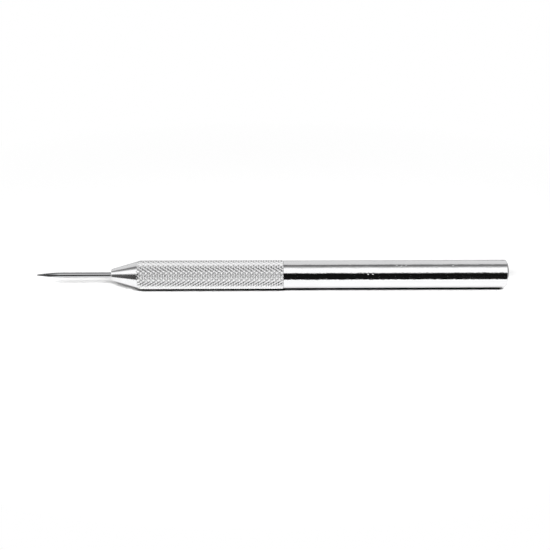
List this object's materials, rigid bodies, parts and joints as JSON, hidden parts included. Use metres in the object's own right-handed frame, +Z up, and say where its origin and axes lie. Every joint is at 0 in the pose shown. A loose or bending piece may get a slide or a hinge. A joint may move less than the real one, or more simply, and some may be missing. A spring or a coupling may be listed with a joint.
{
  "type": "hobby scriber",
  "caption": "Slim metal scriber: a pointed steel needle gripped by a collet in a diamond-knurled aluminium nose sleeve, screwed to a plain round barrel.",
  "frame": {"origin": "on the surface that the tool lies on, under the middle of its length", "axes": "+X along the tool from its point to its rear end, +Z up, +Y across"},
  "size_m": [0.1334, 0.0082, 0.0082],
  "materials": {
    "needle_steel": "hardened steel, ground and polished along the point",
    "collet_steel": "turned steel with fine lathe lines",
    "knurled_aluminium": "bare aluminium, bright rolled diamond knurl and a turned cone",
    "barrel_aluminium": "bare drawn aluminium bar, bright, with faint drawing lines and handling marks"
  },
  "bodies": {
    "handle": {"barrel": "barrel_aluminium"},
    "chuck": {"collet": "collet_steel"},
    "grip": {"knurled_sleeve": "knurled_aluminium"},
    "point": {"needle": "needle_steel"}
  },
  "joints": [
    {"name": "sleeve_advance", "type": "slide", "parent": "handle", "child": "chuck", "axis": [-1, 0, 0], "range_m": [0, 0.0096]},
    {"name": "sleeve_unscrew", "type": "hinge", "parent": "chuck", "child": "grip", "pos_m": [0, 0, 0.00412], "axis": [-1, 0, 0], "range_deg": [0, 4320]},
    {"name": "needle_slide", "type": "slide", "parent": "chuck", "child": "point", "axis": [-1, 0, 0], "range_m": [-0.01, 0.02]}
  ],
  "couplings": [
    {"joint": "sleeve_unscrew", "follows": "sleeve_advance", "rad_per_m": 7854}
  ]
}
